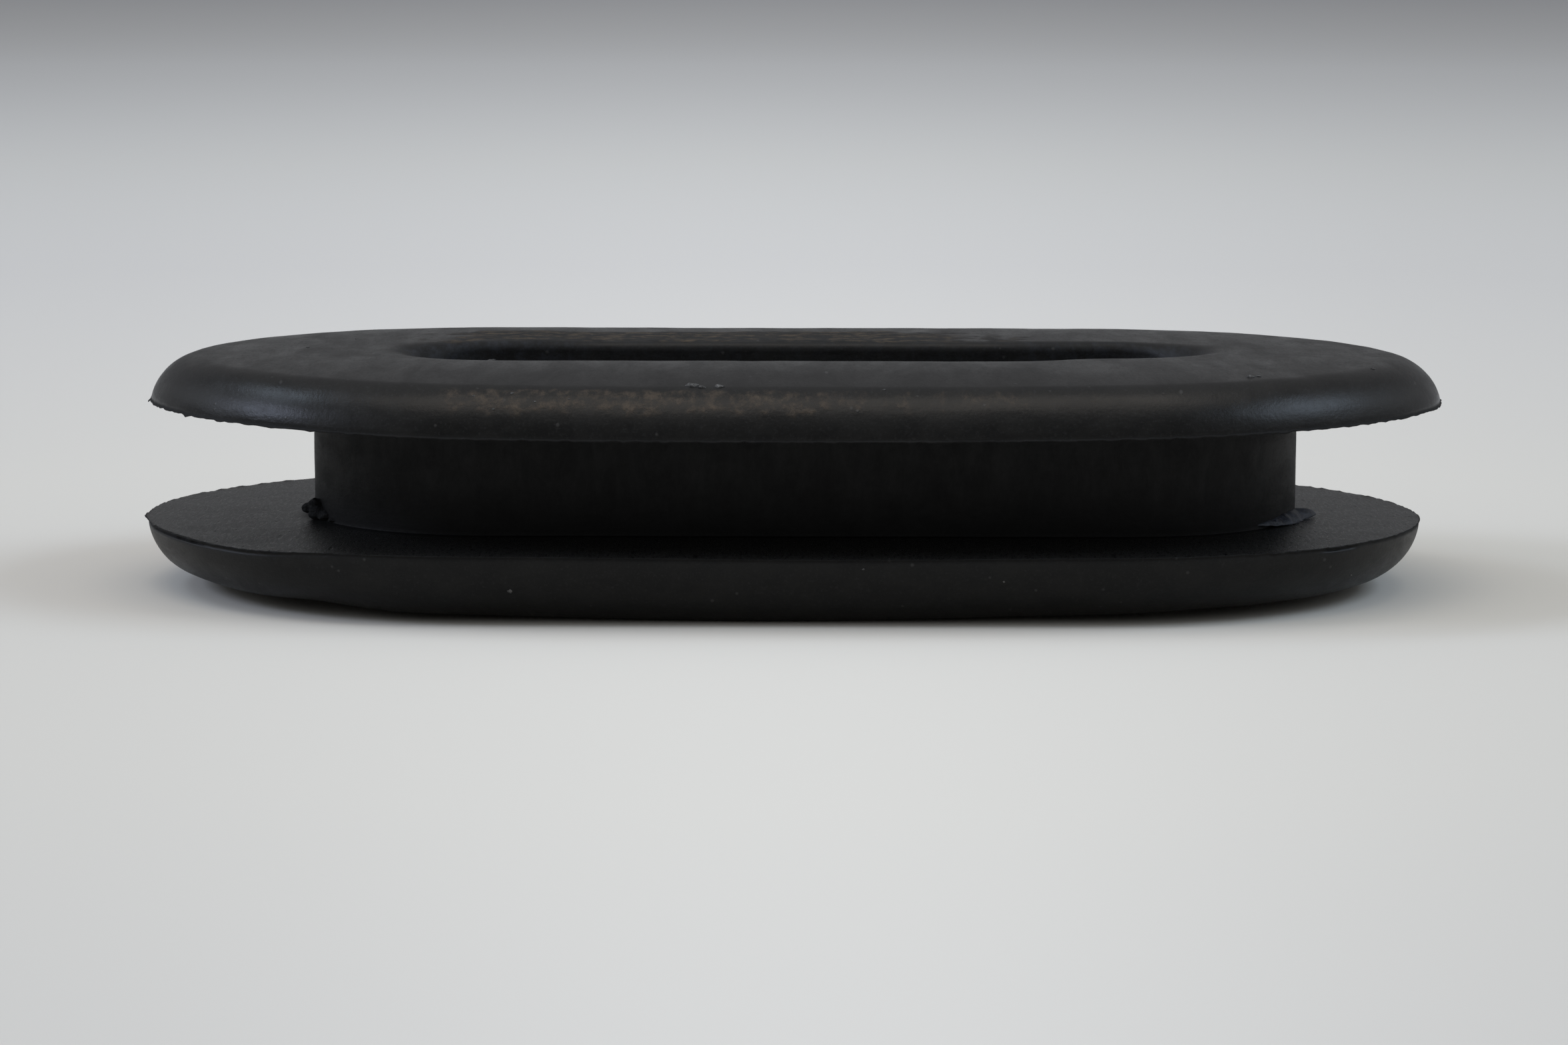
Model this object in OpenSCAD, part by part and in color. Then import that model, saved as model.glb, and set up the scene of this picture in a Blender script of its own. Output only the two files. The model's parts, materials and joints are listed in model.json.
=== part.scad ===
// Oval rubber grommet: a moulded sleeve for an obround cut-out in a panel.
// Half sections are carried round an obround path. Two domed flanges trap the
// panel between them, a short neck fills the cut-out, and the cable runs
// through the slot in the middle. Z = 0 is the flat land of the lower flange,
// which the grommet lies on, and the origin is the middle of its length.

/* [Slot] */
// Length of the slot through the grommet, end to end
hole_length = 31.8; // [14:0.1:80]
// Width of the slot
hole_width = 6.4; // [3:0.1:12]
// Radius that opens both mouths of the slot
mouth_radius = 1.2; // [0.4:0.05:2]
// Angle at the crisp edge where a mould radius ends on a flat face
edge_angle = 20; // [8:1:40]

/* [Neck] */
// Thickness of the rubber between the slot and the groove
wall = 4.7; // [3:0.1:10]
// Width of the groove, which takes the panel edge
groove_width = 4.8; // [1.6:0.1:12]
// Fillet where the neck runs into both flanges
root_radius = 0.15; // [0.1:0.05:0.6]

/* [Flanges] */
// Reach of the upper flange past the neck
upper_overhang = 6.4; // [4:0.1:12]
// Reach of the lower flange past the neck
lower_overhang = 6.1; // [4:0.1:12]
// Height of the upper flange over its groove face
upper_rise = 2.1; // [1.5:0.05:4]
// Height of the lower flange under its groove face
lower_rise = 2.85; // [2:0.05:4]
// Width of the land between the slot wall and the start of each dome
land_width = 3.0; // [1.5:0.1:4.5]
// Radius of the shallow dome from the land towards the upper rim
upper_crown_radius = 100; // [40:1:300]
// Radius of the fuller dome of the lower flange
lower_crown_radius = 40; // [25:1:300]
// Radius that turns the upper dome down to its rim
upper_edge_radius = 2.3; // [1:0.05:3.5]
// Radius that turns the lower dome up to its rim
lower_edge_radius = 2.7; // [1:0.05:3.5]

/* [Mould marks] */
// Reach of the thin parting lip round each rim
lip_reach = 0.2; // [0.05:0.05:0.5]
// Thickness of that lip
lip_thickness = 0.18; // [0.08:0.02:0.4]
// Offset of the core, which makes the slot and the neck, along the length
core_shift = 0.5; // [-1:0.1:1]
// Offset of the upper mould half along the length
upper_shift = 0.1; // [-1:0.1:1]
// Offset of the lower mould half along the length
lower_shift = -0.4; // [-1:0.1:1]
// Radius of the flash nub at one foot of the neck
nub_radius = 0.6; // [0.3:0.05:0.9]
// Turn of the nub round the neck's end, towards the near side
nub_turn = 18; // [0:1:60]
// Length of the flash leaf at the other foot, along the neck
leaf_length = 2.8; // [1.5:0.1:4]
// Reach of the flash leaf past the neck
leaf_reach = 0.8; // [0.4:0.1:1.5]
// Thickness of the flash leaf
leaf_thickness = 0.16; // [0.1:0.02:0.3]
// Height of the flash leaf over the lower groove face
leaf_height = 0.25; // [0.1:0.05:0.6]
// Turn of the leaf round the neck's end, towards the near side
leaf_turn = 22; // [0:1:60]

/* [Hidden] */
$fn = 96;

rubber_black = [0.07, 0.07, 0.075];
run = hole_length - hole_width;           // straight stretch between the round ends
hole_half = hole_width / 2;
neck_half = hole_half + wall;
land_half = hole_half + land_width;
lower_face = lower_rise;                  // groove face of the lower flange
upper_face = lower_face + groove_width;   // groove face of the upper flange
total_height = upper_face + upper_rise;
mouth_depth = mouth_radius * cos(edge_angle);
root_height = root_radius * cos(edge_angle);
root_bite = 2 * root_radius;              // how deep the neck is carried into each flange
cut_margin = mouth_radius;                // how far the slot's cutter stands past the lands

// Carries a profile, drawn in X >= 0 with Y up, round an obround path.
module around(shift) {
    translate([shift, 0, 0])
        for (turn = [0, 180])
            rotate([0, 0, turn]) {
                translate([run / 2, 0, 0])
                    rotate([0, 0, -90])
                        rotate_extrude(angle = 180)
                            children();
                rotate([90, 0, 90])
                    linear_extrude(height = run, center = true)
                        children();
            }
}

// Half section of a flange that rises from its groove face at Y = 0. The edge
// arc passes through the foot of the rim and runs into the crown arc with a
// common tangent, so its centre lies edge_radius from the foot and
// crown_radius - edge_radius from the crown's centre.
module flange_profile(overhang, rise, crown_radius, edge_radius) {
    half = neck_half + overhang;
    foot = [half - lip_reach, 0];
    crown_centre = [land_half, rise - crown_radius];
    span = norm(foot - crown_centre);
    toward = (crown_centre - foot) / span;
    along = (edge_radius ^ 2 - (crown_radius - edge_radius) ^ 2 + span ^ 2) / (2 * span);
    across = sqrt(edge_radius ^ 2 - along ^ 2);
    edge_centre = foot + along * toward + across * [toward.y, -toward.x];
    joint_x = crown_centre.x
        + (edge_centre.x - crown_centre.x) * crown_radius / (crown_radius - edge_radius);

    square([land_half, rise]);
    intersection() {
        translate([land_half, 0]) square([joint_x - land_half, rise]);
        translate(crown_centre) circle(crown_radius, $fn = 1440);
    }
    intersection() {
        translate([joint_x, 0]) square([foot.x - joint_x, rise]);
        translate(edge_centre) circle(edge_radius);
    }
    translate([joint_x, 0]) square([half - joint_x, lip_thickness]);
}

// Half section of the neck with its two root fillets. It bites into both
// flanges, so that the three are one body.
module neck_profile() {
    translate([0, -root_bite]) square([neck_half, groove_width + 2 * root_bite]);
    for (side = [0, 1])
        translate([neck_half, side * groove_width])
            mirror([0, side])
                difference() {
                    translate([0, -root_bite]) square([root_radius, root_height + root_bite]);
                    translate([root_radius, root_height]) circle(root_radius);
                }
}

// Half section of the slot, flared by an arc at both mouths.
module slot_profile() {
    translate([0, -cut_margin]) square([hole_half, total_height + 2 * cut_margin]);
    for (side = [0, 1])
        translate([0, side * total_height])
            mirror([0, side])
                difference() {
                    translate([0, -cut_margin])
                        square([hole_half + mouth_radius, cut_margin + mouth_depth]);
                    translate([hole_half + mouth_radius, mouth_depth])
                        circle(mouth_radius);
                }
}

// Stub of flash left at the foot of the neck's left end: a low lump with a
// torn, blunt top, sunk into the neck and the groove face.
module flash_nub() {
    translate([core_shift - run / 2, 0, lower_face])
        rotate([0, 0, nub_turn])
            translate([-neck_half, 0, 0])
                rotate_extrude()
                    polygon([
                        [0, -nub_radius / 2],
                        [nub_radius, -nub_radius / 2],
                        [nub_radius, nub_radius / 3],
                        [nub_radius * 0.8, nub_radius * 0.8],
                        [nub_radius * 0.4, nub_radius * 1.1],
                        [0, nub_radius * 1.2]
                    ]);
}

// Thin leaf of flash that lies out from the foot of the neck's right end.
module flash_leaf() {
    root = neck_half - leaf_reach;
    translate([core_shift + run / 2, 0, lower_face + leaf_height])
        rotate([0, 0, -leaf_turn])
            linear_extrude(height = leaf_thickness)
                polygon([
                    [root, -leaf_length / 2],
                    [neck_half + leaf_reach, leaf_length / 4],
                    [root, leaf_length / 2]
                ]);
}

module grommet() {
    color(rubber_black)
        difference() {
            union() {
                translate([0, 0, upper_face])
                    around(upper_shift)
                        flange_profile(upper_overhang, upper_rise,
                                       upper_crown_radius, upper_edge_radius);
                translate([0, 0, lower_face])
                    mirror([0, 0, 1])
                        around(lower_shift)
                            flange_profile(lower_overhang, lower_rise,
                                           lower_crown_radius, lower_edge_radius);
                translate([0, 0, lower_face])
                    around(core_shift) neck_profile();
                flash_nub();
                flash_leaf();
            }
            around(core_shift) slot_profile();
        }
}

grommet();
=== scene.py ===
import json
import math

import bmesh
import bpy
import numpy as np
from mathutils import Matrix, Vector, noise


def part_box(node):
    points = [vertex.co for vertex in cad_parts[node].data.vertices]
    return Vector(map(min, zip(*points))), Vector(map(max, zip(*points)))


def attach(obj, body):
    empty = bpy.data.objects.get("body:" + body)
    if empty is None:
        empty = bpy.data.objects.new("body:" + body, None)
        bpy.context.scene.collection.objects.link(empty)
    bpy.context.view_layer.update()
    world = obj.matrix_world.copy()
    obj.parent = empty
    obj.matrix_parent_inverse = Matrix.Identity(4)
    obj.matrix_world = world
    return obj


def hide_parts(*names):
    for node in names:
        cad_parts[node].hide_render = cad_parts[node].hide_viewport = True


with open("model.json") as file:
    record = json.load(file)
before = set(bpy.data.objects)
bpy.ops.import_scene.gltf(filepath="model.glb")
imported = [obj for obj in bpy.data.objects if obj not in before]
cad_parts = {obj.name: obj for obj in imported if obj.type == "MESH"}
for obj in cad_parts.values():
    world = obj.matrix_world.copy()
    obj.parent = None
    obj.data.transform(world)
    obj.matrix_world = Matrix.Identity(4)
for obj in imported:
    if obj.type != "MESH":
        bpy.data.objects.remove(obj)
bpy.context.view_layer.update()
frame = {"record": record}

# ---------------------------------------------------------------------------
# Camera. A macro lens stands a hand's width in front of the grommet's long
# side and just above it, and looks almost level across the table.
# ---------------------------------------------------------------------------
MM = 0.001

camera_stand = Vector((-1.88, -181.56, 26.22)) * MM
camera_pitch = 0.1305   # radians below level
camera_yaw = -0.0082
camera_roll = 0.0033

macro_lens = bpy.data.cameras.new("macro_lens")
macro_lens.lens = 99.7
macro_lens.sensor_width = 36
macro_lens.clip_start = 10 * MM
macro_lens.clip_end = 30
camera = bpy.data.objects.new("macro_camera", macro_lens)
camera.matrix_world = (
    Matrix.Translation(camera_stand)
    @ Matrix.Rotation(camera_yaw, 4, "Z")
    @ Matrix.Rotation(math.pi / 2 - camera_pitch, 4, "X")
    @ Matrix.Rotation(camera_roll, 4, "Z")
)
bpy.context.scene.collection.objects.link(camera)
bpy.context.scene.camera = camera
bpy.context.scene.view_settings.view_transform = "Standard"

# ---------------------------------------------------------------------------
# Table. A wide sheet of plain off-white paper, matt, with painted shade: it greys a
# little as it runs away from the grommet into the dim part of the room.
# ---------------------------------------------------------------------------
table_radius = 8.0

# Tones of the paper by distance from the grommet, which hold painted shade: each
# stop is a share of the way from tone_start to tone_stop, in metres on a
# logarithmic scale, and its colour.
tone_start, tone_stop = 0.05, 3.0
paper_tones_with_painted_shade = [
    (0.0, (0.680, 0.655, 0.602)),
    (0.32, (0.634, 0.617, 0.590)),
    (0.49, (0.658, 0.647, 0.618)),
    (0.69, (0.665, 0.665, 0.665)),
    (1.0, (0.475, 0.48, 0.50)),
]

# The paper also darkens to both sides of a line of sight that starts in front: painted shade.
sight_start = 0.19
side_slope = 0.20
side_shade = 0.125


def node(tree, kind, **settings):
    """A new node with its attributes and input values set; input names start with in_."""
    made = tree.nodes.new(kind)
    for name, value in settings.items():
        if name.startswith("in_"):
            made.inputs[name[3:].replace("_", " ")].default_value = value
        else:
            setattr(made, name, value)
    return made


def math_node(tree, operation, first, second=None):
    """One step of arithmetic on two numbers, each a node's output or a plain number."""
    step = node(tree, "ShaderNodeMath", operation=operation)
    for socket, value in zip(step.inputs, (first, second)):
        if isinstance(value, (int, float)):
            socket.default_value = value
        elif value is not None:
            tree.links.new(value, socket)
    return step.outputs[0]


def ease(tree, value, start, stop):
    """A smooth step of a node's output from 0 at start to 1 at stop."""
    step = node(
        tree, "ShaderNodeMapRange", interpolation_type="SMOOTHSTEP", in_From_Min=start, in_From_Max=stop
    )
    tree.links.new(value, step.inputs["Value"])
    return step.outputs["Result"]


def axes_of(tree, vector):
    """The three parts of a vector."""
    split = node(tree, "ShaderNodeSeparateXYZ")
    tree.links.new(vector, split.inputs[0])
    return split.outputs


def new_material(name, specular):
    """A material with one shader, its specular level set: its node tree and the shader."""
    material = bpy.data.materials.new(name)
    material.use_nodes = True
    shader = material.node_tree.nodes["Principled BSDF"]
    shader.inputs["Specular IOR Level"].default_value = specular
    return material, material.node_tree, shader


def paint_ramp(ramp, stops):
    """Sets a colour ramp to (position, colour) stops."""
    elements = ramp.color_ramp.elements
    while len(elements) < len(stops):
        elements.new(0.5)
    for element, (position, colour) in zip(elements, stops):
        element.position = position
        element.color = (*colour, 1)


def table_paper():
    """Matt off-white paper, with painted shade that greys it away from the grommet and to the sides."""
    material, tree, shader = new_material("table_paper", 0.1)
    shader.inputs["Roughness"].default_value = 0.9
    place = node(tree, "ShaderNodeTexCoord").outputs["Object"]
    away = node(tree, "ShaderNodeVectorMath", operation="LENGTH")
    tree.links.new(place, away.inputs[0])
    tone_place = node(
        tree,
        "ShaderNodeMapRange",
        in_From_Min=math.log10(tone_start),
        in_From_Max=math.log10(tone_stop),
    )
    tree.links.new(math_node(tree, "LOGARITHM", away.outputs["Value"], 10), tone_place.inputs["Value"])
    # Painted shade: the paper greys with distance from the grommet.
    ramp = node(tree, "ShaderNodeValToRGB")
    paint_ramp(ramp, paper_tones_with_painted_shade)
    tree.links.new(tone_place.outputs["Result"], ramp.inputs[0])

    # Painted shade: the paper darkens to both sides of the line of sight.
    aside, outward, _ = axes_of(tree, place)
    slope = math_node(tree, "DIVIDE", aside, math_node(tree, "ADD", outward, sight_start))
    to_side = ease(tree, math_node(tree, "ABSOLUTE", slope), 0.0, side_slope)
    light_left = math_node(tree, "SUBTRACT", 1.0, math_node(tree, "MULTIPLY", to_side, side_shade))
    paper = node(tree, "ShaderNodeVectorMath", operation="SCALE")
    tree.links.new(ramp.outputs[0], paper.inputs[0])
    tree.links.new(light_left, paper.inputs["Scale"])
    tree.links.new(paper.outputs[0], shader.inputs["Base Color"])
    return material


bpy.ops.mesh.primitive_circle_add(vertices=96, radius=table_radius, fill_type="NGON")
table = bpy.context.object
table.name = "table"
table.data.materials.append(table_paper())

# ---------------------------------------------------------------------------
# Light. A warm panel overhead, cool panels high at both sides, and a dim room
# that is brighter at the sides and above than low down behind the grommet.
# ---------------------------------------------------------------------------
panel_distance = 0.7
panel_watts = 4   # that each square metre of a panel needs for a radiance of 1
warm_white = (1.0, 0.92, 0.83)
sky_blue = (0.68, 0.82, 1.0)
deep_sky_blue = (0.68, 0.77, 1.0)

room_horizon = (0.27, 0.275, 0.285, 1)
room_back_wall = (0.20, 0.20, 0.205, 1)
room_back_top = (0.60, 0.60, 0.60, 1)
room_front_low = (0.30, 0.30, 0.30, 1)
room_front_top = (0.66, 0.66, 0.66, 1)
room_left = (1.10, 1.15, 1.22, 1)
room_right = (0.84, 0.88, 0.92, 1)
window_lean = 0.10   # how far the side windows turn from straight aside towards the front


def soft_panel(name, place, size, radiance, colour):
    """A rectangular panel that faces the grommet, with its brightness given as radiance."""
    light = bpy.data.lights.new(name, "AREA")
    light.shape = "RECTANGLE"
    light.size, light.size_y = size
    light.energy = panel_watts * radiance * size[0] * size[1]
    light.color = colour
    panel = bpy.data.objects.new(name, light)
    panel.location = place
    panel.rotation_euler = (-Vector(place)).to_track_quat("-Z", "Y").to_euler()
    bpy.context.scene.collection.objects.link(panel)


def facing(azimuth, elevation):
    """A panel's place at that azimuth from +Y towards +X and elevation, in degrees."""
    turn, rise = math.radians(azimuth), math.radians(elevation)
    return (
        panel_distance * math.sin(turn) * math.cos(rise),
        panel_distance * math.cos(turn) * math.cos(rise),
        panel_distance * math.sin(rise),
    )


soft_panel("overhead_panel", (-0.02, -0.01, 0.62), (0.34, 0.50), 1.35, warm_white)
soft_panel("left_panel", facing(-94, 31), (0.28, 0.18), 7.2, deep_sky_blue)
soft_panel("left_high_panel", facing(-68, 50), (0.26, 0.14), 4.2, sky_blue)
soft_panel("right_panel", facing(95, 43), (0.40, 0.27), 4.0, sky_blue)


def blend(tree, share, first, second):
    """Mixes two colours, each a node's output or a plain colour, by a share from 0 to 1."""
    mix = node(tree, "ShaderNodeMix", data_type="RGBA")
    tree.links.new(share, mix.inputs["Factor"])
    for name, colour in (("A", first), ("B", second)):
        socket = next(i for i in mix.inputs if i.name == name and i.type == "RGBA")
        if isinstance(colour, tuple):
            socket.default_value = colour
        else:
            tree.links.new(colour, socket)
    return next(o for o in mix.outputs if o.type == "RGBA")


room = bpy.data.worlds.new("room")
room.use_nodes = True
bpy.context.scene.world = room
tree = room.node_tree
aside, outward, rise = axes_of(tree, node(tree, "ShaderNodeTexCoord").outputs["Generated"])
skyline = blend(tree, ease(tree, rise, 0.13, 0.23), room_horizon, room_back_wall)
behind = blend(tree, ease(tree, rise, 0.50, 1.0), skyline, room_back_top)
before = blend(tree, ease(tree, rise, 0.60, 0.98), room_front_low, room_front_top)
walls = blend(tree, ease(tree, outward, -0.6, -0.1), before, behind)
above_sill = ease(tree, rise, 0.15, 0.35)
toward_back = math_node(tree, "MULTIPLY", outward, window_lean)
for side_sign, glow in ((-1.0, room_left), (1.0, room_right)):
    sideways = math_node(tree, "MULTIPLY", aside, side_sign)
    sideways = math_node(tree, "SUBTRACT", sideways, toward_back)
    window = math_node(tree, "MULTIPLY", ease(tree, sideways, 0.42, 0.96), above_sill)
    walls = blend(tree, window, walls, glow)
tree.links.new(walls, tree.nodes["Background"].inputs["Color"])

# ---------------------------------------------------------------------------
# The grommet. One compression moulding in soft black rubber: two mould
# halves make the domed flanges, and a loose core between them makes the neck
# and the slot, so the three sit a little off each other. The rubber has
# relaxed since it left the mould, and the parting line left a torn lip.
# ---------------------------------------------------------------------------
low, high = (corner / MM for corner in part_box("grommet"))
mounts = {mount["name"]: Vector(mount["pos_m"]) / MM for mount in frame["record"]["mounts"]}

height = high.z
upper_face = mounts["upper_groove_face"].z
groove_middle = mounts["panel_groove"]
lower_face = 2 * groove_middle.z - upper_face
run = 25.4                  # straight stretch between the round ends
slot_half = 3.2
neck_half = 7.9
land_half = 6.2             # half width at the start of each dome
root_radius = 0.04          # fillet between the neck and a groove face
lip_reach = 0.05            # reach of the parting lip where it isn't torn
upper_reach = high.y
upper_crown_radius = 100
upper_edge_radius = 2.3
lower_reach = 14.0
lower_crown_radius = 40
lower_edge_radius = 2.7

# Offsets along the grommet of the core and of the two mould halves.
core_shift = groove_middle.x
upper_shift = high.x - run / 2 - upper_reach
lower_shift = low.x + run / 2 + lower_reach


def arc(centre, radius, start, stop, count):
    """Points on an arc between two angles in degrees, counted from +X."""
    turn = np.radians(np.linspace(start, stop, count))
    return np.column_stack([centre[0] + radius * np.cos(turn), centre[1] + radius * np.sin(turn)])


def spread(a, b, count):
    """Evenly spaced points from a to b, without a and b themselves."""
    share = np.linspace(0, 1, count + 2)[1:-1, None]
    return np.array(a) + share * (np.array(b) - np.array(a))


def dome(reach, rise, crown_radius, edge_radius):
    """Section of a flange from its foot up over the edge and the crown to the land."""
    foot = Vector((reach - lip_reach, 0))
    crown = Vector((land_half, rise - crown_radius))
    span = (foot - crown).length
    toward = (crown - foot) / span
    along = (edge_radius ** 2 - (crown_radius - edge_radius) ** 2 + span ** 2) / (2 * span)
    across = math.sqrt(edge_radius ** 2 - along ** 2)
    edge = foot + along * toward + across * Vector((toward.y, -toward.x))
    meet = math.degrees(math.atan2(edge.y - crown.y, edge.x - crown.x))
    start = math.degrees(math.atan2(foot.y - edge.y, foot.x - edge.x))
    return np.vstack([
        arc(edge, edge_radius, start, meet, 24),
        arc(crown, crown_radius, meet, 90, 10)[1:],
    ])


def mouth(roll, ease_radius, lean):
    """Section of the slot's mouth, from the land inwards and down to the slot wall."""
    tilt = math.radians(lean)
    land_end = slot_half + roll + (ease_radius - roll) * math.sin(tilt)
    roll_height = -ease_radius + (ease_radius - roll) * math.cos(tilt)
    return np.vstack([
        arc((land_end, -ease_radius), ease_radius, 90, 90 + lean, 6),
        arc((slot_half + roll, roll_height), roll, 90 + lean, 180, 9)[1:],
    ])


wide_mouth = mouth(roll=1.1, ease_radius=5.0, lean=14)
tight_mouth = mouth(roll=0.4, ease_radius=3.0, lean=10)


def plain(points):
    """Section points that follow neither the torn lip nor the notch."""
    return np.pad(points, ((0, 0), (0, 2)))


def flange(reach, rise, crown_radius, edge_radius, shift):
    """Section of a flange over its groove face, from the neck out and round to the slot.

    Each point has its distance from the middle line, its height over the groove face, its
    offset along the grommet, how far it follows the torn lip, how far it follows the notch
    under the lip, and how far it is on the groove face.
    """
    root = np.vstack([
        (neck_half, -4 * root_radius),
        arc((neck_half + root_radius, -root_radius), root_radius, 180, 90, 4),
    ])
    foot = reach - lip_reach
    face = spread(root[-1], (foot - 0.1, 0), 8)
    lip = np.array([
        (foot - 0.10, 0.00, 0.0, 0.0),
        (foot - 0.01, 0.00, 0.6, 0.0),
        (reach - 0.01, 0.00, 1.0, 0.0),
        (reach, 0.02, 1.0, 0.0),
        (reach - 0.02, 0.05, 0.9, 0.0),
    ])
    whole = dome(reach, rise, crown_radius, edge_radius)
    lip_heights = np.array([0.08, 0.11, 0.15, 0.19, 0.24, 0.32])
    lip_root = np.column_stack([
        np.interp(lip_heights, whole[:, 1], whole[:, 0]),
        lip_heights,
        (0.6, 0.4, 0.25, 0.1, 0.0, 0.0),
        (0.2, 1.0, 1.0, 0.4, 0.1, 0.0),
    ])
    above = whole[whole[:, 1] > 0.38]
    rolled = wide_mouth + (0, rise)
    land = spread(whole[-1], rolled[0], 1)
    points = np.vstack([
        plain(root),
        plain(face),
        lip,
        lip_root,
        plain(above),
        plain(land),
        plain(rolled),
    ])
    shifts = np.interp(points[:, 0], [neck_half, neck_half + 3], [core_shift, shift])
    on_face = np.zeros(len(points))
    on_face[len(root):len(root) + len(face) + 2] = 1
    return np.column_stack([points[:, :2], shifts, points[:, 2:], on_face])


def core_wall(top, bottom, count):
    """Section of a wall that the core makes, between two flanges."""
    wall = spread(top, bottom, count)
    return np.column_stack([wall, np.full(count, core_shift), np.zeros((count, 3))])


upper_rise = height - upper_face
upper = flange(upper_reach, upper_rise, upper_crown_radius, upper_edge_radius, upper_shift)
lower = flange(lower_reach, lower_face, lower_crown_radius, lower_edge_radius, lower_shift)
upper[:, 1] = upper_face + upper[:, 1]
lower[:, 1] = lower_face - lower[:, 1]
section = np.vstack([
    upper,
    core_wall(upper[-1, :2], lower[-1, :2], 4),
    lower[::-1],
    core_wall(lower[0, :2], upper[0, :2], 5),
])
reach, level, shift, torn, notch, on_face = section.T
on_upper = level > groove_middle.z

# Stations round the obround, evenly spaced along a path of middle reach. The
# first is in the middle of the far side.
station_count = 680
path_reach = 10.0
arc_length = math.pi * path_reach
stretch = run + arc_length
along = np.linspace(0, 2 * stretch, station_count, endpoint=False)
travel = (along + run / 2) % (2 * stretch)
half = (travel // stretch).astype(int)
rest = travel - half * stretch
turn = np.maximum(rest - run, 0) / path_reach + half * math.pi
side = np.where(half == 0, 1, -1)
base = -side * (np.minimum(rest, run) - run / 2)
normal_x = -np.sin(turn)[:, None]
normal_y = np.cos(turn)[:, None]


def smooth(value, start, stop):
    """0 below start, 1 above stop, and an even ease between."""
    share = np.clip((value - start) / (stop - start), 0, 1)
    return share * share * (3 - 2 * share)


def swell(value, middle, width, power=2):
    """1 at the middle, and an even fall to 0 on both sides."""
    return np.exp(-np.abs((value - middle) / width) ** power)


# The torn lip of each rim: fine teeth, and the larger scraps of flash, each
# with its rim, place, length, width and drop. The near side of the lower rim
# came out clean between its ends, and is torn only further out than that.
lower_clean_to, lower_torn_from = 14.0, 20.0
scraps = [
    ("upper", -26.9, -1.0, 0.14, 0.40, 0.16),
    ("upper", 26.9, -0.8, 0.12, 0.30, 0.00),
    ("upper", -24.6, -8.0, 0.04, 0.20, 0.09),
    ("upper", -23.0, -9.9, 0.04, 0.18, 0.08),
    ("upper", 25.0, -8.6, 0.05, 0.25, 0.08),
    ("upper", 23.4, -10.3, 0.03, 0.30, 0.05),
    ("lower", -27.0, -1.5, 0.14, 0.60, 0.00),
    ("lower", -26.2, -4.4, 0.05, 0.25, 0.06),
    ("lower", 26.2, -1.0, 0.10, 0.40, 0.00),
    ("lower", 24.6, -8.4, 0.05, 0.25, 0.00),
]
rim_x = base + shift[np.argmax(torn)] + upper_reach * normal_x[:, 0]
rim_y = upper_reach * normal_y[:, 0]
rim_place = rim_x[:, None]


def teeth(rim):
    """How far the lip of a rim stands out past its foot at each station, and how far it hangs."""
    out = np.empty(station_count)
    hang = np.zeros(station_count)
    noise_level = 40.0 if rim == "upper" else 0.0   # so that the two rims tear differently
    for i, (here_x, here_y) in enumerate(zip(rim_x, rim_y)):
        place = Vector((here_x, here_y, noise_level))
        slow = noise.noise(place * 0.35)
        fast = noise.noise(place * 2.6)
        fine = noise.noise(place * 7.0)
        torn_here = 1.0
        if rim == "lower" and here_y <= 0:
            torn_here = float(smooth(abs(here_x), lower_clean_to, lower_torn_from))
        out[i] = lip_reach * min(max(0.5 + 0.5 * slow + 0.5 * fast, 0), 1) * torn_here
        hang[i] = (0.045 * fast + 0.030 * fine) * (0.2 + 0.8 * torn_here)
    for name, scrap_x, scrap_y, length, width, drop in scraps:
        if name == rim:
            share = np.exp(-((rim_x - scrap_x) ** 2 + (rim_y - scrap_y) ** 2) / width ** 2)
            out += length * share
            hang += drop * share
    return out[:, None], hang[:, None]


upper_lip, upper_hang = teeth("upper")
lower_lip, lower_hang = teeth("lower")
lip_out = torn * (np.where(on_upper, upper_lip, lower_lip) - lip_reach)

# Under the lip of the lower rim a notch is left, deep and dark at the near
# side of the left end and shorter at the right.
notch_depth = 0.15
near_side = smooth(-normal_y, 0, 0.3)
opened = near_side * swell(rim_place, -25.4, 1.9, 4)
opened = opened + near_side * 0.35 * swell(rim_place, -22.2, 2.4)
opened = opened + near_side * 0.7 * swell(rim_place, 22.4, 0.8, 8)
lip_out = lip_out - np.where(on_upper, 0, notch_depth * opened) * notch

# The mouth on top is rolled wide at the near side and the ends, and tight at the far side.
tighter = np.zeros((len(section), 2))
tighter[len(upper) - len(wide_mouth):len(upper)] = tight_mouth - wide_mouth
far_side = smooth(normal_y, 0.2, 0.9)

distance = reach + lip_out + far_side * tighter[:, 0]
x = base[:, None] + shift + distance * normal_x
y = distance * normal_y
z = level + far_side * tighter[:, 1] - torn * np.where(on_upper, upper_hang, lower_hang)

# The upper flange droops along the middle of its near side and lifts at the ends.
end_lift = 0.13
middle_droop = 0.41
near = smooth(-normal_y, -0.3, 0.5)
flap = smooth(reach, neck_half, upper_reach)
z += np.where(on_upper, near * flap * (end_lift - middle_droop * swell(x, -1, 19, 3)), 0)

# The lower rim droops a little too. The dome under it has settled flat along
# its middle, and lifts at both ends, more at the left one.
left_droop, middle_sag = 0.16, 0.10
settled_depth = 0.34
left_lift, right_lift = 0.25, 0.09
z -= np.where(
    on_upper, 0, near * flap * (left_droop * swell(x, -22, 2.6) + middle_sag * swell(x, 1, 9))
)
dome_side = (1 - smooth(level, 0.3, 2.6)) * smooth(reach, land_half, 11)
settled = -settled_depth * swell(x, -2, 13) * smooth(level, 0, 0.33)
lifted = left_lift * smooth(-x, 15, 20) * smooth(29 + x, 1, 6) + right_lift * smooth(x, 12, 17)
z += np.where(on_upper, 0, dome_side * (settled + lifted))

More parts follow.
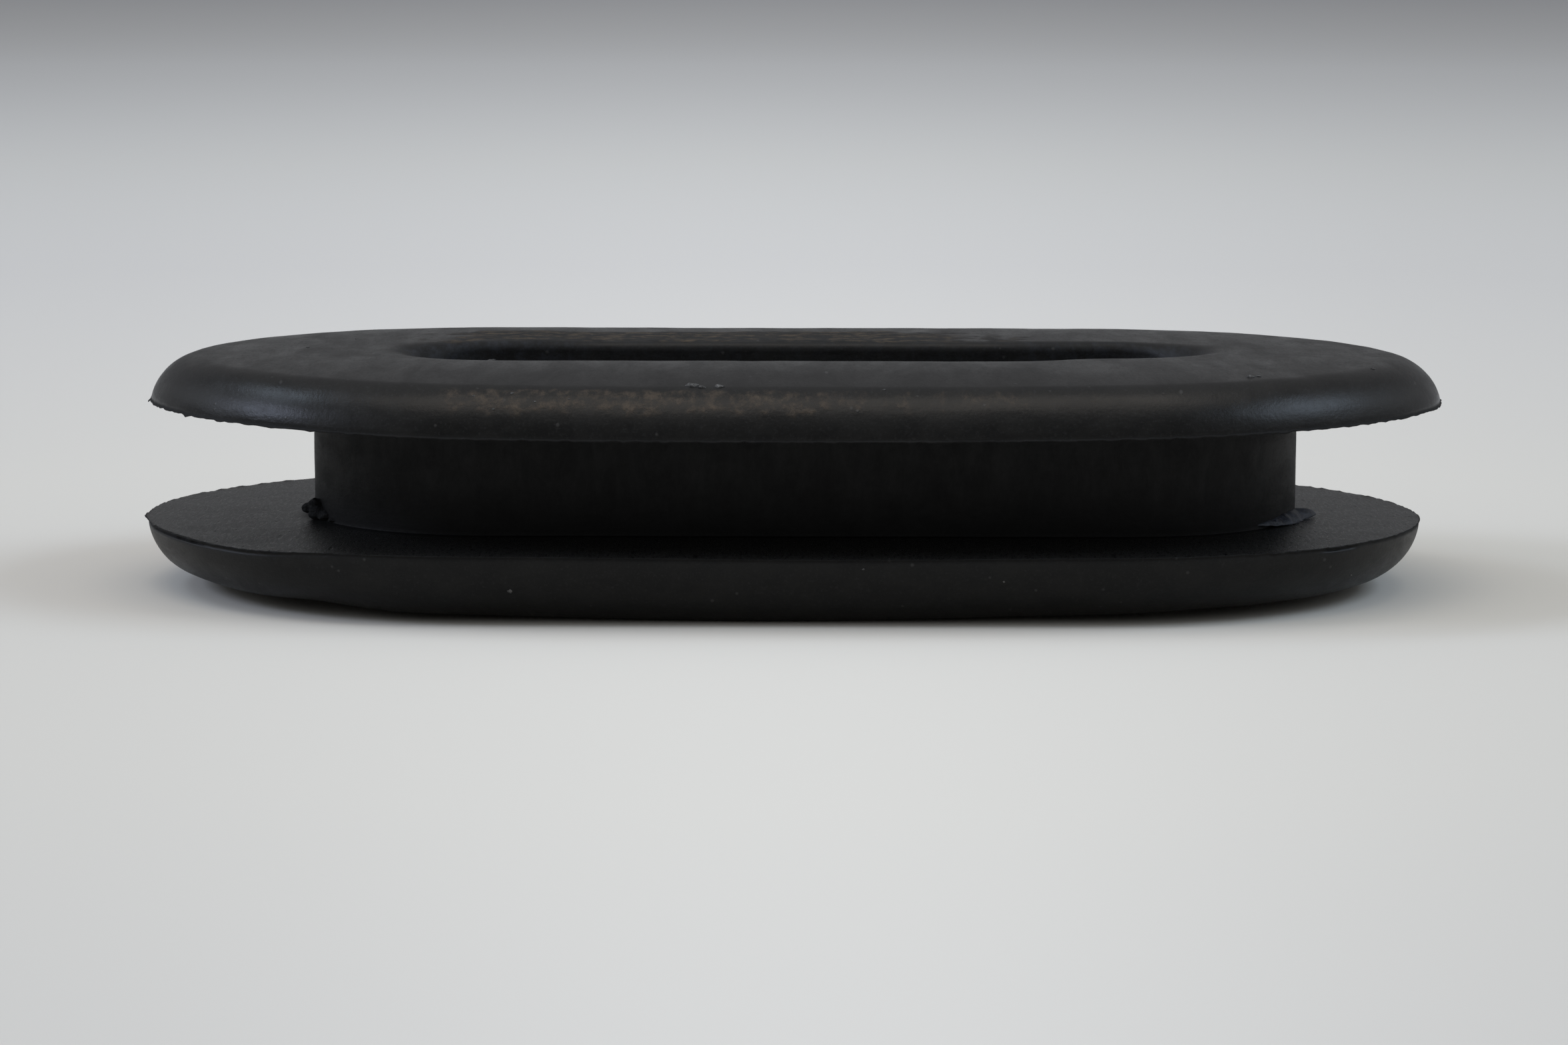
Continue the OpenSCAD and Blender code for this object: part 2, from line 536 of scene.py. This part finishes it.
# The mouth of the slot sags a little along its near edge, and is pressed
# inwards and up near the right end of it.
mouth_sag = 0.06
pressed_in, pressed_up = 0.5, 0.10
near_mouth = smooth(-normal_y, 0, 0.5) * smooth(-reach, -land_half, -4.6)
pressed = near_mouth * swell(x, 14.5, 4, 3)
z -= np.where(on_upper, mouth_sag * near_mouth * smooth(level, 8, 9), 0)
y += np.where(on_upper, pressed_in * pressed * smooth(level, 6, 8.5), 0)
z += np.where(on_upper, pressed_up * pressed * smooth(level, 8, 9), 0)

# The skin is a little uneven all over.
flat_points = np.stack([x, y, z], axis=-1)


def uneven(points):
    """Small rises and hollows of the skin, long and short ones together, in millimetres."""
    rise = np.empty(points.shape[:2])
    for i, row in enumerate(points):
        for j, point in enumerate(row):
            place = Vector(point)
            rise[i, j] = 0.016 * noise.noise(place * 0.45) + 0.006 * noise.noise(place * 1.5)
    return rise


def normals_of(points):
    """Outward normals of the ring-shaped surface."""
    around = np.roll(points, -1, axis=0) - np.roll(points, 1, axis=0)
    across = np.roll(points, -1, axis=1) - np.roll(points, 1, axis=1)
    normals = np.cross(around, across)
    return normals / np.linalg.norm(normals, axis=-1, keepdims=True)


points = flat_points + normals_of(flat_points) * uneven(flat_points)[..., None]
points = np.clip(points, low, high)   # inside the box of the solid model


def ring_mesh(name, points):
    """A mesh of quads through a grid of points that closes both ways."""
    around, across = points.shape[:2]
    index = np.arange(around * across).reshape(around, across)
    ahead = np.roll(index, -1, axis=0)
    quads = np.stack([
        index,
        ahead,
        np.roll(ahead, -1, axis=1),
        np.roll(index, -1, axis=1),
    ], axis=-1).reshape(-1, 4)
    mesh = bpy.data.meshes.new(name)
    mesh.from_pydata((points.reshape(-1, 3) * MM).tolist(), [], quads.tolist())
    mesh.polygons.foreach_set("use_smooth", [True] * len(quads))
    mesh.update()
    return mesh


def set_in_scene(name, mesh):
    """A new object of the scene that holds the mesh."""
    made = bpy.data.objects.new(name, mesh)
    bpy.context.scene.collection.objects.link(made)
    return made


moulding_mesh = ring_mesh("rubber_moulding", points)
moulding = set_in_scene("rubber_moulding", moulding_mesh)

# Where each finish lies. The core's dull finish is on the neck and its root.
in_groove = (level > lower_face - 0.01) & (level < upper_face + 0.01)
neck_wall = np.where(in_groove & (reach < neck_half + 1.5 * root_radius), 1.0, 0.0)

# The ends of the slot are chalky and carry a painted bluish reflection of the side windows, the left
# one more than the right one.
slot_mouth = 1 - smooth(reach, slot_half + 0.5, slot_half + 1.6)
chalk_and_reflection = slot_mouth * (0.32 + np.where(x < 0, 0.68, 0.4) * smooth(np.abs(x), 8, 11))

# Brown scuffs lie along the edge of the upper flange, strongest left of the
# middle of its near side, and brown soil along the far mouth of the slot. Both
# are partly real and partly painted sheen of the warm overhead light.
edge_band = near_side * swell(reach, 13.22, 0.58, 4)
edge_ends = smooth(x, -15.0, -11.8) * (1 - smooth(x, 7, 15))
scuff_and_sheen = np.where(on_upper, edge_band * edge_ends * (1 - 0.6 * smooth(x, -1, 3)), 0)
mouth_band = smooth(normal_y, 0, 0.6) * swell(reach, 6.4, 2.3, 4)
soil_and_sheen = np.where(on_upper, mouth_band * smooth(x, -18, -11) * (1 - smooth(x, 2, 15)), 0)

above_groove = np.where(on_upper, level - upper_face, lower_face - level)
torn_lip = smooth(reach, 13.7, 13.9) * (1 - smooth(above_groove, 0.04, 0.20))

finishes = {
    "torn_lip": np.tile(torn_lip, station_count),
    "groove_face": np.tile(on_face, station_count),
    "neck_wall": np.tile(neck_wall, station_count),
    "scuff_and_sheen": scuff_and_sheen.ravel(),
    "soil_and_sheen": soil_and_sheen.ravel(),
    "chalk_and_reflection": chalk_and_reflection.ravel(),
}
for name, share in finishes.items():
    finish = moulding_mesh.attributes.new(name, "FLOAT", "POINT")
    finish.data.foreach_set("value", share.astype(np.float32))


def share_of(tree, name):
    """The share of a finish at each place."""
    return node(tree, "ShaderNodeAttribute", attribute_name=name).outputs["Fac"]


def stretched(tree, place, stretch_x, stretch_y, stretch_z):
    """Place on the rubber in millimetres, drawn out along each axis."""
    scale = node(tree, "ShaderNodeVectorMath", operation="MULTIPLY")
    tree.links.new(place, scale.inputs[0])
    scale.inputs[1].default_value = (1000 / stretch_x, 1000 / stretch_y, 1000 / stretch_z)
    return scale.outputs[0]


def clouds(tree, place, size, detail=2.0, roughness=0.5, warp=0.0):
    """Soft clouds of a size in millimetres, from about 0.25 to 0.75."""
    cloud = node(tree, "ShaderNodeTexNoise")
    tree.links.new(place, cloud.inputs["Vector"])
    cloud.inputs["Scale"].default_value = 1 / size
    cloud.inputs["Detail"].default_value = detail
    cloud.inputs["Roughness"].default_value = roughness
    cloud.inputs["Distortion"].default_value = warp
    return cloud.outputs["Fac"]


def pits(tree, place, size, share):
    """Round pits in cells of a size in millimetres: 1 in the middle of a pit, 0 elsewhere."""
    cells = node(tree, "ShaderNodeTexVoronoi")
    tree.links.new(place, cells.inputs["Vector"])
    cells.inputs["Scale"].default_value = 1 / size
    chance = node(tree, "ShaderNodeSeparateColor")
    tree.links.new(cells.outputs["Color"], chance.inputs[0])
    chosen = math_node(tree, "LESS_THAN", chance.outputs[0], share)
    return math_node(tree, "MULTIPLY", chosen, ease(tree, cells.outputs["Distance"], 0.34, 0.1))


def sum_of(tree, total, parts):
    """A number plus each of some shares times its amount."""
    for share, amount in parts:
        total = math_node(tree, "ADD", total, math_node(tree, "MULTIPLY", share, amount))
    return total


def emboss(tree, shader, relief):
    """Gives a shader the relief that is too fine to be modelled, in millimetres."""
    bump = node(tree, "ShaderNodeBump", in_Distance=MM)
    tree.links.new(relief, bump.inputs["Height"])
    tree.links.new(bump.outputs["Normal"], shader.inputs["Normal"])


def ragged(tree, share, place, size):
    """A share whose soft border is torn up by clouds of a size in millimetres."""
    bite = ease(tree, clouds(tree, place, size, 3, 0.6), 0.35, 0.65)
    return ease(tree, sum_of(tree, share, [(bite, -0.5)]), 0.02, 0.55)


skin_black = (0.0044, 0.0044, 0.0044, 1)
skin_bloomed = (0.0076, 0.0074, 0.0070, 1)
powder_grey = (0.014, 0.0138, 0.0138, 1)
# Brown of the scuffs, partly painted sheen of the warm overhead light.
scuff_and_sheen_brown = (0.052, 0.0385, 0.0270, 1)
# Brown of the soil, partly painted sheen of the warm overhead light.
soil_and_sheen_brown = (0.050, 0.0365, 0.0230, 1)
groove_dark = (0.005, 0.005, 0.0049, 1)
groove_dusty = (0.020, 0.0195, 0.0187, 1)
# Pits are bare of dust, and painted darker than the bare rubber as shade in their hollows.
pit_painted_shade = (0.003, 0.003, 0.003, 1)
neck_dark = (0.0090, 0.0090, 0.0090, 1)
neck_pale = (0.0175, 0.0175, 0.0172, 1)
# Painted shade at the foot of the neck.
foot_painted_shade = (0.0042, 0.0042, 0.0042, 1)
# Chalky grey with a painted bluish reflection of the side windows.
chalk_and_reflection_grey = (0.015, 0.0165, 0.0200, 1)
speck_grey = (0.036, 0.035, 0.034, 1)


def black_rubber():
    """Soft black rubber with a grey bloom, and moulding dust rubbed into the groove."""
    material, tree, shader = new_material("black_rubber", 0.175)
    skin = node(tree, "ShaderNodeTexCoord").outputs["Object"]
    even = stretched(tree, skin, 1, 1, 1)
    grain = stretched(tree, skin, 1, 4, 1)
    drag = stretched(tree, skin, 1, 5, 1)
    rubbing = stretched(tree, skin, 1.3, 3, 1)
    smeared = stretched(tree, skin, 3.2, 2.5, 1)
    drawn = stretched(tree, skin, 0.8, 0.8, 2.0)
    along_rim = stretched(tree, skin, 1.4, 5, 1)
    drawn_rim = stretched(tree, skin, 2.6, 2.6, 0.4)
    up = axes_of(tree, skin)[2]
    groove_face = share_of(tree, "groove_face")
    neck_wall = share_of(tree, "neck_wall")
    chalk_and_reflection = share_of(tree, "chalk_and_reflection")

    bloom = ease(tree, clouds(tree, along_rim, 0.8, 4, 0.65), 0.35, 0.70)
    tint = blend(tree, bloom, skin_black, skin_bloomed)
    powder = ease(tree, clouds(tree, grain, 0.12, 3, 0.7), 0.50, 0.80)
    tint = blend(tree, powder, tint, powder_grey)

    # Brown scuffs, partly real and partly painted sheen of the warm overhead light.
    scuff_and_sheen = ragged(tree, share_of(tree, "scuff_and_sheen"), grain, 1.1)
    rubbed = ease(tree, clouds(tree, rubbing, 0.34, 5, 0.7), 0.40, 0.74)
    rubbed = math_node(tree, "MULTIPLY", rubbed, scuff_and_sheen)
    tint = blend(tree, rubbed, tint, scuff_and_sheen_brown)

    # Brown soil along the far mouth, partly real and partly painted sheen of the overhead light.
    soil_and_sheen = ragged(tree, share_of(tree, "soil_and_sheen"), even, 1.8)
    soil_and_sheen_blotches = ease(tree, clouds(tree, smeared, 0.24, 5, 0.7), 0.47, 0.64)
    tint = blend(tree, math_node(tree, "MULTIPLY", soil_and_sheen_blotches, soil_and_sheen), tint, soil_and_sheen_brown)

    swirl = ease(tree, clouds(tree, drag, 0.13, 6, 0.75), 0.22, 0.78)
    dust = blend(tree, swirl, groove_dark, groove_dusty)
    small_pits = pits(tree, drag, 0.20, 0.12)
    large_pits = pits(tree, drag, 0.40, 0.07)
    open_pits = math_node(tree, "MAXIMUM", small_pits, large_pits)
    # The pits show bare rubber, painted darker than it as shade in their hollows.
    dust = blend(tree, open_pits, dust, pit_painted_shade)
    tint = blend(tree, groove_face, tint, dust)

    release = ease(tree, clouds(tree, drawn, 1.0, 6, 0.7, 0.3), 0.36, 0.74)
    core_tint = blend(tree, release, neck_dark, neck_pale)
    # Painted shade: the neck darkens towards its foot, under the upper flange and down in the groove.
    foot_shade_share = ease(tree, up, (lower_face + 2.6) * MM, lower_face * MM)
    core_tint = blend(tree, foot_shade_share, core_tint, foot_painted_shade)
    tint = blend(tree, neck_wall, tint, core_tint)

    # Chalk, partly real and partly painted bluish reflection of the side windows.
    chalk_and_reflection_blotches = ease(tree, clouds(tree, grain, 0.35, 4, 0.7), 0.40, 0.70)
    tint = blend(tree, math_node(tree, "MULTIPLY", chalk_and_reflection_blotches, chalk_and_reflection), tint, chalk_and_reflection_grey)

    round_specks = pits(tree, even, 0.26, 0.012)
    long_specks = pits(tree, grain, 0.30, 0.02)
    specks = math_node(tree, "MAXIMUM", round_specks, long_specks)
    specks = math_node(tree, "MULTIPLY", specks, math_node(tree, "SUBTRACT", 1.0, neck_wall))
    tint = blend(tree, math_node(tree, "MULTIPLY", specks, 0.7), tint, speck_grey)
    tree.links.new(tint, shader.inputs["Base Color"])

    wiped = ease(tree, clouds(tree, along_rim, 1.3, 6, 0.7, 0.4), 0.34, 0.66)
    underside = ease(tree, up, (lower_face + 0.05) * MM, (lower_face - 0.2) * MM)
    outer = sum_of(tree, 0.265, [
        (wiped, 0.085),
        (bloom, 0.05),
        (powder, 0.10),
        (rubbed, 0.08),
        (soil_and_sheen, 0.28),
        (share_of(tree, "torn_lip"), 0.45),
        (underside, 0.10),
        (neck_wall, 0.28),
        (chalk_and_reflection, 0.35),
    ])
    worn = sum_of(tree, 0.23, [(swirl, 0.13)])
    gloss = node(tree, "ShaderNodeMix", data_type="FLOAT")
    for name, value in (("Factor", groove_face), ("A", outer), ("B", worn)):
        socket = next(i for i in gloss.inputs if i.name == name and i.type == "VALUE")
        tree.links.new(value, socket)
    tree.links.new(gloss.outputs[0], shader.inputs["Roughness"])

    emboss(tree, shader, sum_of(tree, 0.0, [
        (clouds(tree, grain, 0.14, 3, 0.6), 0.009),
        (clouds(tree, drawn_rim, 0.8, 3, 0.6), 0.010),
        (math_node(tree, "MULTIPLY", open_pits, groove_face), -0.02),
        (math_node(tree, "MULTIPLY", swirl, groove_face), 0.012),
        (rubbed, 0.010),
        (specks, 0.006),
    ]))
    return material


moulding.data.materials.append(black_rubber())
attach(moulding, "root")
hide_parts("grommet")

# ---------------------------------------------------------------------------
# The nub at the left end of the neck's foot. A crumb of the same black rubber
# that was squeezed out between the core and the lower mould half, and tore.
# It is one mass of lumps, each with its middle and its three radii.
# ---------------------------------------------------------------------------
nub_fineness = 0.035
torn_dark = (0.012, 0.012, 0.012, 1)
torn_pale = (0.030, 0.030, 0.0294, 1)
nub_lumps = [
    ((-20.16, -2.35, 3.28), (0.30, 0.34, 0.22)),
    ((-19.86, -2.55, 3.44), (0.32, 0.34, 0.27)),
    ((-19.68, -2.75, 3.14), (0.46, 0.44, 0.33)),
    ((-19.22, -3.15, 3.06), (0.48, 0.44, 0.26)),
    ((-18.80, -3.85, 2.96), (0.42, 0.34, 0.13)),
]
nub_shape = bmesh.new()
for centre, radii in nub_lumps:
    lump = bmesh.ops.create_icosphere(nub_shape, subdivisions=4, radius=1)
    for vertex in lump["verts"]:
        rough = 1 + 0.20 * noise.noise(vertex.co * 1.5 + Vector(centre))
        rough += 0.05 * noise.noise(vertex.co * 4.0 + Vector(centre))
        vertex.co = Vector(centre) + Vector(a * b for a, b in zip(vertex.co * rough, radii))
nub_mesh = bpy.data.meshes.new("torn_nub")
nub_shape.to_mesh(nub_mesh)
nub_shape.free()
nub = set_in_scene("torn_nub", nub_mesh)
fused = nub.modifiers.new("fused", "REMESH")
fused.mode = "VOXEL"
fused.voxel_size = nub_fineness
fused.use_smooth_shade = True
nub_mesh = bpy.data.meshes.new_from_object(nub.evaluated_get(bpy.context.evaluated_depsgraph_get()))
nub.modifiers.clear()
for vertex in nub_mesh.vertices:
    vertex.co = vertex.co * MM
nub.data = nub_mesh


def torn_rubber(name, dark, pale):
    """The torn face of the rubber: dull and rough, with no skin left on it."""
    material, tree, shader = new_material(name, 0.08)
    place = stretched(tree, node(tree, "ShaderNodeTexCoord").outputs["Object"], 1, 1, 1)
    crumbly = ease(tree, clouds(tree, place, 0.16, 4, 0.7), 0.38, 0.68)
    tree.links.new(blend(tree, crumbly, dark, pale), shader.inputs["Base Color"])
    tree.links.new(sum_of(tree, 0.62, [(crumbly, 0.15)]), shader.inputs["Roughness"])
    emboss(tree, shader, math_node(tree, "MULTIPLY", crumbly, 0.04))
    return material


nub.data.materials.append(torn_rubber("torn_rubber", torn_dark, torn_pale))
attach(nub, "root")
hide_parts("grommet")

# ---------------------------------------------------------------------------
# The leaf at the right end of the neck's foot. Thin flash of the same rubber,
# still held by its root, that has curled up. Its pale blue-grey is painted light
# of the side window falling on it.
# ---------------------------------------------------------------------------
leaf_start, leaf_stop = 44, 5   # degrees round the neck's end, towards the near side
leaf_width = 0.52
leaf_thick = 0.06
leaf_height = 0.42
leaf_tip = 0.75                 # how far the tip swings out from the neck
leaf_steps, leaf_strips = 44, 12
neck_end = run / 2 + core_shift
# Painted light: the leaf's blue-grey stands in for the side window's light on it.
flash_dark_in_painted_light = (0.016, 0.0185, 0.025, 1)
flash_pale_in_painted_light = (0.056, 0.063, 0.081, 1)


def leaf_point(i, j, side):
    """A point of the leaf: i along the neck, j from its top edge down to its free edge."""
    along, out = i / leaf_steps, j / leaf_strips
    turn = math.radians(leaf_start + (leaf_stop - leaf_start) * along)
    full = min(1.0, along / 0.45) ** 0.8 * min(1.0, 5 * (1 - along)) ** 0.6
    torn = 1 + 0.30 * noise.noise(Vector((along * 9, 0.0, 3.0)))
    fold = 0.06 * noise.noise(Vector((along * 14, out * 2, 9.0)))
    edge = math.sin(math.pi * min(max(out, 0.04), 0.96)) ** 0.5
    away = leaf_width * full * torn * out + leaf_tip * smooth(along, 0.72, 1.0) + fold * full
    away += side * leaf_thick / 2 * edge * 0.6
    drop = leaf_height * full * (out ** 1.5)
    top = leaf_height * (0.35 + 0.65 * full) + 0.05 * noise.noise(Vector((along * 11, 0.0, 5.0)))
    return Vector((
        neck_end + (neck_half - 0.05 + away) * math.cos(turn),
        -(neck_half - 0.05 + away) * math.sin(turn),
        lower_face + 0.01 + top - drop + side * leaf_thick / 2 * edge * 0.8,
    ))


leaf_shape = bmesh.new()
skins = [
    [[leaf_shape.verts.new(leaf_point(i, j, side) * MM) for j in range(leaf_strips + 1)]
     for i in range(leaf_steps + 1)]
    for side in (1, -1)
]
for skin, turned in zip(skins, (False, True)):
    for i in range(leaf_steps):
        for j in range(leaf_strips):
            corners = [skin[i][j], skin[i + 1][j], skin[i + 1][j + 1], skin[i][j + 1]]
            leaf_shape.faces.new(corners[::-1] if turned else corners)
border = [(i, 0) for i in range(leaf_steps)]
border += [(leaf_steps, j) for j in range(leaf_strips)]
border += [(i, leaf_strips) for i in range(leaf_steps, 0, -1)]
border += [(0, j) for j in range(leaf_strips, 0, -1)]
for (i, j), (next_i, next_j) in zip(border, border[1:] + border[:1]):
    leaf_shape.faces.new([
        skins[0][next_i][next_j],
        skins[0][i][j],
        skins[1][i][j],
        skins[1][next_i][next_j],
    ])
bmesh.ops.remove_doubles(leaf_shape, verts=leaf_shape.verts, dist=0.002 * MM)
bmesh.ops.recalc_face_normals(leaf_shape, faces=leaf_shape.faces)
for face in leaf_shape.faces:
    face.smooth = True
leaf_mesh = bpy.data.meshes.new("torn_leaf")
leaf_shape.to_mesh(leaf_mesh)
leaf_shape.free()
leaf = set_in_scene("torn_leaf", leaf_mesh)


def dull_flash():
    """The skin of thin flash: the same rubber, dull, with painted bluish light in its colour that is
    paler in patches.
    """
    material, tree, shader = new_material("dull_flash", 0.18)
    place = stretched(tree, node(tree, "ShaderNodeTexCoord").outputs["Object"], 1, 1, 1)
    pale_patches = ease(tree, clouds(tree, place, 0.3, 4, 0.6, 1.0), 0.35, 0.7)
    # Painted light: pale and darker patches of the blue-grey light on the leaf.
    tree.links.new(blend(tree, pale_patches, flash_dark_in_painted_light, flash_pale_in_painted_light), shader.inputs["Base Color"])
    tree.links.new(sum_of(tree, 0.36, [(pale_patches, 0.16)]), shader.inputs["Roughness"])
    emboss(tree, shader, math_node(tree, "MULTIPLY", clouds(tree, place, 0.18, 3, 0.6), 0.03))
    return material


leaf.data.materials.append(dull_flash())
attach(leaf, "root")
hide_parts("grommet")

# ---------------------------------------------------------------------------
# Stuck crumbs. Tiny shreds of trimmed rubber, grey with bloom, that cling to
# the skin of the flanges. Each has its place and its radius in millimetres,
# and is laid on the skin where that is nearest.
# ---------------------------------------------------------------------------
crumb_dark = (0.055, 0.054, 0.052, 1)
crumb_pale = (0.170, 0.166, 0.161, 1)
crumb_width, crumb_height = 0.8, 0.40   # against its length
crumb_places = [
    ((-18.7, 4.2, 9.7), 0.10),
    ((-20.4, 0.2, 9.7), 0.08),
    ((-14.5, -2.9, 9.7), 0.09),
    ((-12.4, -4.6, 9.7), 0.16),
    ((-4.1, -12.1, 9.5), 0.24),
    ((-3.75, -12.3, 9.5), 0.15),
    ((-3.05, -12.2, 9.5), 0.19),
    ((-12.6, -13.2, 9.1), 0.06),
    ((-11.8, -13.8, 8.7), 0.06),
    ((-11.1, -13.0, 9.2), 0.07),
    ((-10.2, -13.5, 9.0), 0.05),
    ((-8.9, -13.3, 9.0), 0.05),
    ((0.6, -3.9, 9.7), 0.06),
    ((3.4, -12.6, 9.4), 0.06),
    ((18.0, -10.3, 9.4), 0.18),
    ((18.35, -10.1, 9.4), 0.12),
    ((17.3, 4.6, 9.7), 0.09),
    ((18.3, 4.7, 9.7), 0.08),
    ((23.3, -6.6, 9.1), 0.10),
    ((-21.9, -8.4, 8.4), 0.06),
    ((-11.2, -13.2, 1.6), 0.09),
    ((8.1, -13.4, 2.0), 0.05),
    ((22.4, -9.0, 1.4), 0.07),
    ((2.6, -13.8, 2.4), 0.05),
]
crumb_shape = bmesh.new()
for place, size in crumb_places:
    _, at, facing_out, _ = moulding.closest_point_on_mesh(Vector(place) * MM)
    turn = facing_out.to_track_quat("Z", "Y").to_matrix()
    shred = bmesh.ops.create_icosphere(crumb_shape, subdivisions=2, radius=1)
    for vertex in shred["verts"]:
        rough = 1 + 0.8 * noise.noise(vertex.co * 1.8 + Vector(place))
        flat = vertex.co * Vector((1, crumb_width, crumb_height)) * size * rough
        vertex.co = at + turn @ flat * MM
        vertex.co.z = min(vertex.co.z, high.z * MM)
for face in crumb_shape.faces:
    face.smooth = True
crumb_mesh = bpy.data.meshes.new("stuck_crumbs")
crumb_shape.to_mesh(crumb_mesh)
crumb_shape.free()
crumbs = set_in_scene("stuck_crumbs", crumb_mesh)
crumbs.data.materials.append(torn_rubber("dusty_rubber", crumb_dark, crumb_pale))
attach(crumbs, "root")
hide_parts("grommet")
